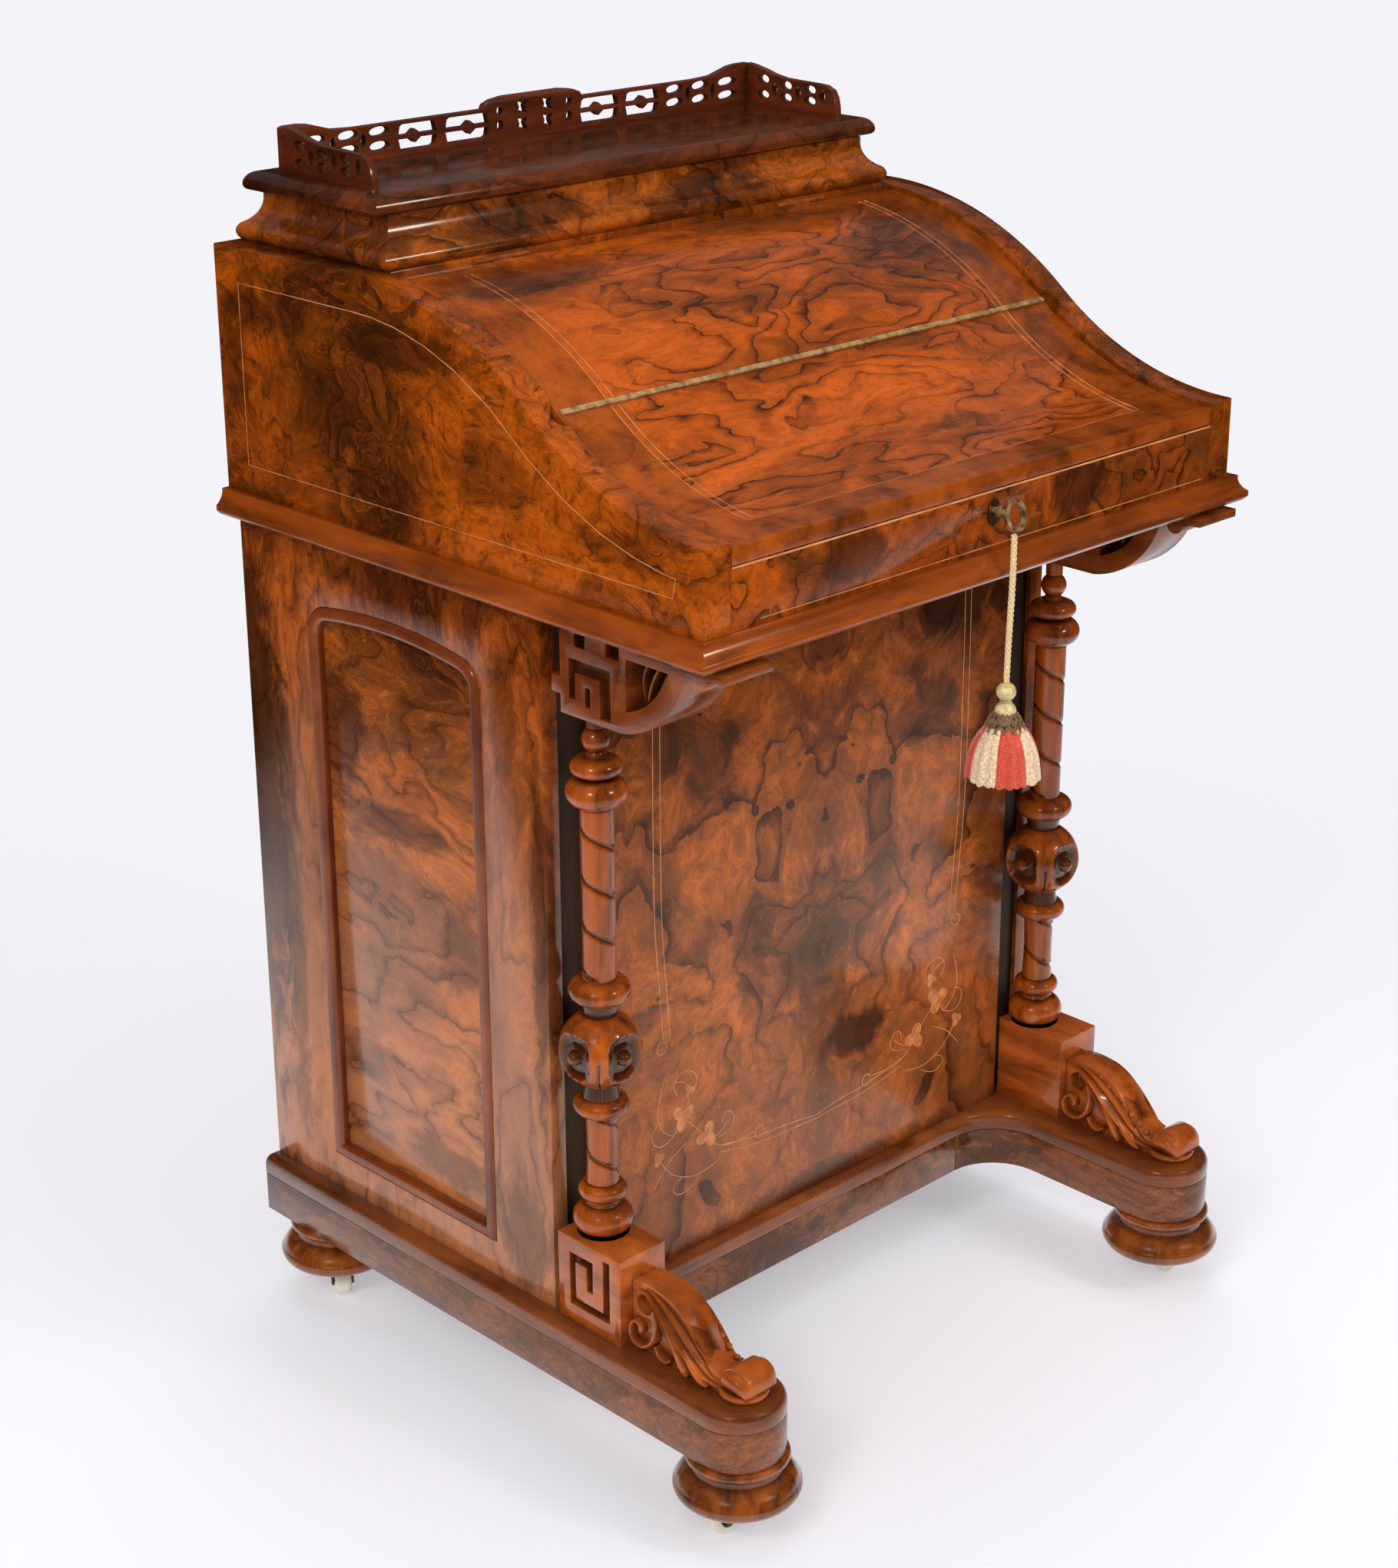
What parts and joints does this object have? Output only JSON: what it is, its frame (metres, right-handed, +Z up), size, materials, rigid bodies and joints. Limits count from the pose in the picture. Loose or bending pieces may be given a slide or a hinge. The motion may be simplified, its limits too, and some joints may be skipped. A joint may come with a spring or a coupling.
{
  "type": "davenport desk",
  "caption": "Small writing desk with a sloping serpentine lid over a well, a lidded stationery box with gallery, front columns and a pedestal with side drawers on castors.",
  "frame": {"origin": "centre of the bounding box at floor level, under the four castors", "axes": "+X to the sitter's right (the drawer side), +Y towards the back, +Z up"},
  "size_m": [0.575, 0.5439, 0.922],
  "materials": {
    "figured_walnut": "burr walnut veneer, french polished",
    "solid_walnut": "turned and carved walnut, polished",
    "lining_wood": "plain planed",
    "polished_brass": "aged polish",
    "key_brass": "tarnished",
    "lock_iron": "dull",
    "white_china": "glazed",
    "cream_cord": "twisted silk",
    "tassel_silk": "silk thread"
  },
  "bodies": {
    "desk": {"cheek_left": "figured_walnut", "cheek_right": "figured_walnut", "frieze": "figured_walnut", "knee_panel": "figured_walnut", "side_panel_left": "figured_walnut", "side_frame_left": "figured_walnut", "drawer_frame_right": "figured_walnut", "box_walls": "figured_walnut", "case_back": "figured_walnut", "pedestal_back": "figured_walnut", "bun_feet": "solid_walnut", "plinth_side_left": "solid_walnut", "plinth_side_right": "solid_walnut", "plinth_front_rail": "solid_walnut", "plinth_back_rail": "solid_walnut", "plinth_cap": "solid_walnut", "arch_moulding_left": "solid_walnut", "column_left": "solid_walnut", "column_right": "solid_walnut", "base_block_left": "solid_walnut", "base_block_right": "solid_walnut", "bracket_left": "solid_walnut", "bracket_right": "solid_walnut", "plinth_scroll_left": "solid_walnut", "plinth_scroll_right": "solid_walnut", "case_moulding": "solid_walnut", "carcase_front": "lining_wood", "drawer_runners": "lining_wood", "case_bottom": "lining_wood", "hinge_rail": "lining_wood", "box_rack": "lining_wood", "hinge_leaves_fixed": "polished_brass", "escutcheon": "polished_brass", "lock_case": "lock_iron"},
    "lid": {"writing_lid": "figured_walnut", "pen_rest": "polished_brass", "lid_hinge_leaves": "polished_brass"},
    "box_cover": {"box_lid": "figured_walnut", "gallery": "solid_walnut", "box_hinge_leaves": "polished_brass"},
    "turned_key": {"key": "key_brass"},
    "thrown_bolt": {"lock_bolt": "lock_iron"},
    "hanging_tassel": {"key_cord": "cream_cord", "tassel": "tassel_silk"},
    "sliding_drawer_1": {"drawer_1": "figured_walnut", "drawer_knobs_1": "solid_walnut"},
    "sliding_drawer_2": {"drawer_2": "figured_walnut", "drawer_knobs_2": "solid_walnut"},
    "sliding_drawer_3": {"drawer_3": "figured_walnut", "drawer_knobs_3": "solid_walnut"},
    "sliding_drawer_4": {"drawer_4": "figured_walnut", "drawer_knobs_4": "solid_walnut"},
    "swivel_front_left": {"castor_fork_front_left": "polished_brass"},
    "roller_front_left": {"castor_wheel_front_left": "white_china"},
    "swivel_front_right": {"castor_fork_front_right": "polished_brass"},
    "roller_front_right": {"castor_wheel_front_right": "white_china"},
    "swivel_rear_left": {"castor_fork_rear_left": "polished_brass"},
    "roller_rear_left": {"castor_wheel_rear_left": "white_china"},
    "swivel_rear_right": {"castor_fork_rear_right": "polished_brass"},
    "roller_rear_right": {"castor_wheel_rear_right": "white_china"}
  },
  "joints": [
    {"name": "lid_hinge", "type": "hinge", "parent": "desk", "child": "lid", "pos_m": [0, 0.1, 0.8385], "axis": [-1, 0, 0], "range_deg": [0, 65]},
    {"name": "box_hinge", "type": "hinge", "parent": "desk", "child": "box_cover", "pos_m": [0, 0.2592, 0.8775], "axis": [-1, 0, 0], "range_deg": [0, 90]},
    {"name": "key_turn", "type": "hinge", "parent": "desk", "child": "turned_key", "pos_m": [0.003, -0.2225, 0.692], "axis": [0, 1, 0], "range_deg": [0, 90]},
    {"name": "bolt_throw", "type": "slide", "parent": "desk", "child": "thrown_bolt", "axis": [0, 0, 1], "range_m": [0, 0.007]},
    {"name": "tassel_lift", "type": "slide", "parent": "desk", "child": "hanging_tassel", "axis": [0, 0, 1], "range_m": [0, 0.0115]},
    {"name": "drawer_slide_1", "type": "slide", "parent": "desk", "child": "sliding_drawer_1", "axis": [1, 0, 0], "range_m": [0, 0.38]},
    {"name": "drawer_slide_2", "type": "slide", "parent": "desk", "child": "sliding_drawer_2", "axis": [1, 0, 0], "range_m": [0, 0.38]},
    {"name": "drawer_slide_3", "type": "slide", "parent": "desk", "child": "sliding_drawer_3", "axis": [1, 0, 0], "range_m": [0, 0.38]},
    {"name": "drawer_slide_4", "type": "slide", "parent": "desk", "child": "sliding_drawer_4", "axis": [1, 0, 0], "range_m": [0, 0.38]},
    {"name": "castor_swivel_front_left", "type": "hinge", "parent": "desk", "child": "swivel_front_left", "pos_m": [-0.2415, -0.226, 0.03], "axis": [0, 0, 1], "continuous": true},
    {"name": "castor_roll_front_left", "type": "hinge", "parent": "swivel_front_left", "child": "roller_front_left", "pos_m": [-0.25184, -0.22224, 0.012], "axis": [-0.342, -0.9397, 0], "continuous": true},
    {"name": "castor_swivel_front_right", "type": "hinge", "parent": "desk", "child": "swivel_front_right", "pos_m": [0.2415, -0.226, 0.03], "axis": [0, 0, 1], "continuous": true},
    {"name": "castor_roll_front_right", "type": "hinge", "parent": "swivel_front_right", "child": "roller_front_right", "pos_m": [0.2525, -0.226, 0.012], "axis": [0, 1, 0], "continuous": true},
    {"name": "castor_swivel_rear_left", "type": "hinge", "parent": "desk", "child": "swivel_rear_left", "pos_m": [-0.2415, 0.226, 0.03], "axis": [0, 0, 1], "continuous": true},
    {"name": "castor_roll_rear_left", "type": "hinge", "parent": "swivel_rear_left", "child": "roller_rear_left", "pos_m": [-0.24733, 0.21667, 0.012], "axis": [0.848, -0.5299, 0], "continuous": true},
    {"name": "castor_swivel_rear_right", "type": "hinge", "parent": "desk", "child": "swivel_rear_right", "pos_m": [0.2415, 0.226, 0.03], "axis": [0, 0, 1], "continuous": true},
    {"name": "castor_roll_rear_right", "type": "hinge", "parent": "swivel_rear_right", "child": "roller_rear_right", "pos_m": [0.24435, 0.23663, 0.012], "axis": [-0.9659, 0.2588, 0], "continuous": true}
  ],
  "couplings": [
    {"joint": "key_turn", "follows": "bolt_throw", "rad_per_m": 224.4},
    {"joint": "tassel_lift", "follows": "bolt_throw", "ratio": 1.6429}
  ]
}
